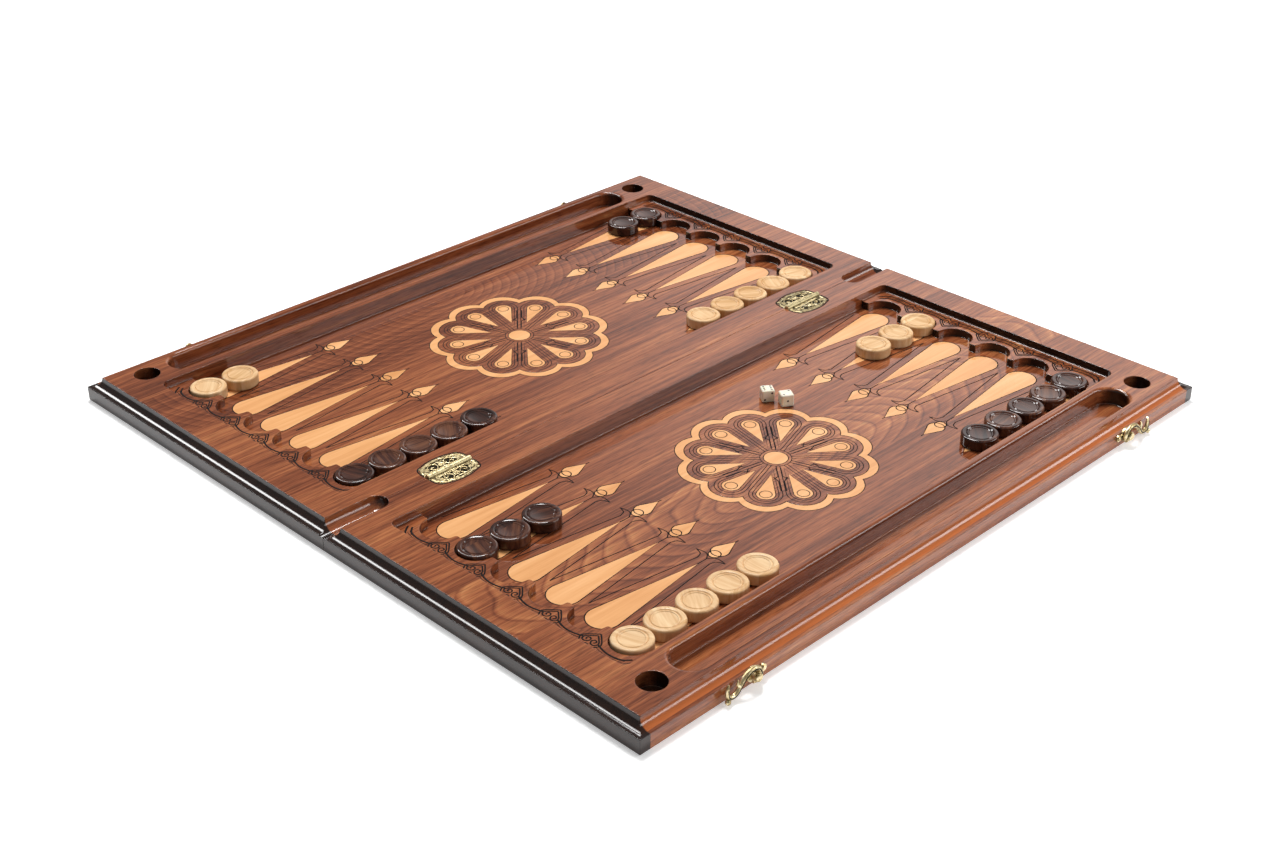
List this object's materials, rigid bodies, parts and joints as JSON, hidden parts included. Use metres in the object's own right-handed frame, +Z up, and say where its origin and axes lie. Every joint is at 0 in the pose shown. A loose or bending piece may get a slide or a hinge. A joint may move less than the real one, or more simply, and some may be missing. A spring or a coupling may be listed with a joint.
{
  "type": "folding backgammon board",
  "caption": "Folding carved wooden backgammon board with inlaid points, checker trays, dice wells, brass hinges and hooks, and loose turned checkers and dice.",
  "frame": {"origin": "on the table, under the middle of the fold of the open board", "axes": "+X along the fold towards the right-hand end seen from the front leaf, +Y across the fold towards the back leaf, +Z up"},
  "size_m": [0.6, 0.6144, 0.0214],
  "materials": {
    "dark_beech": "red-brown stained beech under gloss lacquer",
    "light_inlay": "warm tan wood, satin lacquer",
    "light_checker": "pale maple, satin lacquer",
    "dark_checker": "dark stained beech, gloss lacquer",
    "antique_brass": "cast, antiqued dark in the recesses",
    "ivory_plastic": "gloss, black painted pips"
  },
  "bodies": {
    "front_leaf": {"leaf_front": "dark_beech", "points_front": "light_inlay", "rosette_front": "light_inlay", "hinge_left_front_half": "antique_brass", "hinge_right_front_half": "antique_brass", "hinge_left_pin": "antique_brass", "hinge_right_pin": "antique_brass", "hinge_screws_front": "antique_brass", "latch_left_plate": "antique_brass", "latch_right_plate": "antique_brass", "latch_left_pivot": "antique_brass", "latch_right_pivot": "antique_brass", "latch_screws": "antique_brass"},
    "back_leaf": {"leaf_back": "dark_beech", "points_back": "light_inlay", "rosette_back": "light_inlay", "hinge_left_back_half": "antique_brass", "hinge_right_back_half": "antique_brass", "hinge_screws_back": "antique_brass", "latch_left_catch": "antique_brass", "latch_right_catch": "antique_brass"},
    "left_hook": {"latch_left_hook": "antique_brass"},
    "right_hook": {"latch_right_hook": "antique_brass"},
    "checker_light_01_body": {"checker_light_01": "light_checker"},
    "checker_light_02_body": {"checker_light_02": "light_checker"},
    "checker_light_03_body": {"checker_light_03": "light_checker"},
    "checker_light_04_body": {"checker_light_04": "light_checker"},
    "checker_light_05_body": {"checker_light_05": "light_checker"},
    "checker_dark_01_body": {"checker_dark_01": "dark_checker"},
    "checker_dark_02_body": {"checker_dark_02": "dark_checker"},
    "checker_dark_03_body": {"checker_dark_03": "dark_checker"},
    "checker_dark_04_body": {"checker_dark_04": "dark_checker"},
    "checker_dark_05_body": {"checker_dark_05": "dark_checker"},
    "checker_dark_06_body": {"checker_dark_06": "dark_checker"},
    "checker_dark_07_body": {"checker_dark_07": "dark_checker"},
    "checker_dark_08_body": {"checker_dark_08": "dark_checker"},
    "checker_light_06_body": {"checker_light_06": "light_checker"},
    "checker_light_07_body": {"checker_light_07": "light_checker"},
    "checker_light_08_body": {"checker_light_08": "light_checker"},
    "checker_light_09_body": {"checker_light_09": "light_checker"},
    "checker_light_10_body": {"checker_light_10": "light_checker"},
    "checker_dark_09_body": {"checker_dark_09": "dark_checker"},
    "checker_dark_10_body": {"checker_dark_10": "dark_checker"},
    "checker_dark_11_body": {"checker_dark_11": "dark_checker"},
    "checker_dark_12_body": {"checker_dark_12": "dark_checker"},
    "checker_dark_13_body": {"checker_dark_13": "dark_checker"},
    "checker_dark_14_body": {"checker_dark_14": "dark_checker"},
    "checker_dark_15_body": {"checker_dark_15": "dark_checker"},
    "checker_light_11_body": {"checker_light_11": "light_checker"},
    "checker_light_12_body": {"checker_light_12": "light_checker"},
    "checker_light_13_body": {"checker_light_13": "light_checker"},
    "checker_light_14_body": {"checker_light_14": "light_checker"},
    "checker_light_15_body": {"checker_light_15": "light_checker"},
    "die_upper_body": {"die_upper": "ivory_plastic"},
    "die_lower_body": {"die_lower": "ivory_plastic"}
  },
  "joints": [
    {"name": "fold", "type": "hinge", "parent": "front_leaf", "child": "back_leaf", "pos_m": [0, 0, 0.0192], "axis": [1, 0, 0], "range_deg": [0, 180]},
    {"name": "left_hook_swing", "type": "hinge", "parent": "front_leaf", "child": "left_hook", "pos_m": [-0.205, -0.3036, 0.0083], "axis": [0, 1, 0], "range_deg": [0, 90]},
    {"name": "right_hook_swing", "type": "hinge", "parent": "front_leaf", "child": "right_hook", "pos_m": [0.205, -0.3036, 0.0083], "axis": [0, -1, 0], "range_deg": [0, 90]},
    {"name": "checker_light_01_lift", "type": "slide", "parent": "front_leaf", "child": "checker_light_01_body", "axis": [0, 0, -1], "range_m": [-0.04, 0]},
    {"name": "checker_light_02_lift", "type": "slide", "parent": "front_leaf", "child": "checker_light_02_body", "axis": [0, 0, -1], "range_m": [-0.04, 0]},
    {"name": "checker_light_03_lift", "type": "slide", "parent": "front_leaf", "child": "checker_light_03_body", "axis": [0, 0, -1], "range_m": [-0.04, 0]},
    {"name": "checker_light_04_lift", "type": "slide", "parent": "front_leaf", "child": "checker_light_04_body", "axis": [0, 0, -1], "range_m": [-0.04, 0]},
    {"name": "checker_light_05_lift", "type": "slide", "parent": "front_leaf", "child": "checker_light_05_body", "axis": [0, 0, -1], "range_m": [-0.04, 0]},
    {"name": "checker_dark_01_lift", "type": "slide", "parent": "front_leaf", "child": "checker_dark_01_body", "axis": [0, 0, -1], "range_m": [-0.04, 0]},
    {"name": "checker_dark_02_lift", "type": "slide", "parent": "front_leaf", "child": "checker_dark_02_body", "axis": [0, 0, -1], "range_m": [-0.04, 0]},
    {"name": "checker_dark_03_lift", "type": "slide", "parent": "front_leaf", "child": "checker_dark_03_body", "axis": [0, 0, -1], "range_m": [-0.04, 0]},
    {"name": "checker_dark_04_lift", "type": "slide", "parent": "front_leaf", "child": "checker_dark_04_body", "axis": [0, 0, -1], "range_m": [-0.04, 0]},
    {"name": "checker_dark_05_lift", "type": "slide", "parent": "front_leaf", "child": "checker_dark_05_body", "axis": [0, 0, -1], "range_m": [-0.04, 0]},
    {"name": "checker_dark_06_lift", "type": "slide", "parent": "front_leaf", "child": "checker_dark_06_body", "axis": [0, 0, -1], "range_m": [-0.04, 0]},
    {"name": "checker_dark_07_lift", "type": "slide", "parent": "front_leaf", "child": "checker_dark_07_body", "axis": [0, 0, -1], "range_m": [-0.04, 0]},
    {"name": "checker_dark_08_lift", "type": "slide", "parent": "front_leaf", "child": "checker_dark_08_body", "axis": [0, 0, -1], "range_m": [-0.04, 0]},
    {"name": "checker_light_06_lift", "type": "slide", "parent": "front_leaf", "child": "checker_light_06_body", "axis": [0, 0, -1], "range_m": [-0.04, 0]},
    {"name": "checker_light_07_lift", "type": "slide", "parent": "front_leaf", "child": "checker_light_07_body", "axis": [0, 0, -1], "range_m": [-0.04, 0]},
    {"name": "checker_light_08_lift", "type": "slide", "parent": "front_leaf", "child": "checker_light_08_body", "axis": [0, 0, -1], "range_m": [-0.04, 0]},
    {"name": "checker_light_09_lift", "type": "slide", "parent": "back_leaf", "child": "checker_light_09_body", "axis": [0, 0, -1], "range_m": [-0.04, 0]},
    {"name": "checker_light_10_lift", "type": "slide", "parent": "back_leaf", "child": "checker_light_10_body", "axis": [0, 0, -1], "range_m": [-0.04, 0]},
    {"name": "checker_dark_09_lift", "type": "slide", "parent": "back_leaf", "child": "checker_dark_09_body", "axis": [0, 0, -1], "range_m": [-0.04, 0]},
    {"name": "checker_dark_10_lift", "type": "slide", "parent": "back_leaf", "child": "checker_dark_10_body", "axis": [0, 0, -1], "range_m": [-0.04, 0]},
    {"name": "checker_dark_11_lift", "type": "slide", "parent": "back_leaf", "child": "checker_dark_11_body", "axis": [0, 0, -1], "range_m": [-0.04, 0]},
    {"name": "checker_dark_12_lift", "type": "slide", "parent": "back_leaf", "child": "checker_dark_12_body", "axis": [0, 0, -1], "range_m": [-0.04, 0]},
    {"name": "checker_dark_13_lift", "type": "slide", "parent": "back_leaf", "child": "checker_dark_13_body", "axis": [0, 0, -1], "range_m": [-0.04, 0]},
    {"name": "checker_dark_14_lift", "type": "slide", "parent": "back_leaf", "child": "checker_dark_14_body", "axis": [0, 0, -1], "range_m": [-0.04, 0]},
    {"name": "checker_dark_15_lift", "type": "slide", "parent": "back_leaf", "child": "checker_dark_15_body", "axis": [0, 0, -1], "range_m": [-0.04, 0]},
    {"name": "checker_light_11_lift", "type": "slide", "parent": "back_leaf", "child": "checker_light_11_body", "axis": [0, 0, -1], "range_m": [-0.04, 0]},
    {"name": "checker_light_12_lift", "type": "slide", "parent": "back_leaf", "child": "checker_light_12_body", "axis": [0, 0, -1], "range_m": [-0.04, 0]},
    {"name": "checker_light_13_lift", "type": "slide", "parent": "back_leaf", "child": "checker_light_13_body", "axis": [0, 0, -1], "range_m": [-0.04, 0]},
    {"name": "checker_light_14_lift", "type": "slide", "parent": "back_leaf", "child": "checker_light_14_body", "axis": [0, 0, -1], "range_m": [-0.04, 0]},
    {"name": "checker_light_15_lift", "type": "slide", "parent": "back_leaf", "child": "checker_light_15_body", "axis": [0, 0, -1], "range_m": [-0.04, 0]},
    {"name": "die_upper_lift", "type": "slide", "parent": "front_leaf", "child": "die_upper_body", "axis": [0, 0, -1], "range_m": [-0.04, 0]},
    {"name": "die_lower_lift", "type": "slide", "parent": "front_leaf", "child": "die_lower_body", "axis": [0, 0, -1], "range_m": [-0.04, 0]}
  ]
}
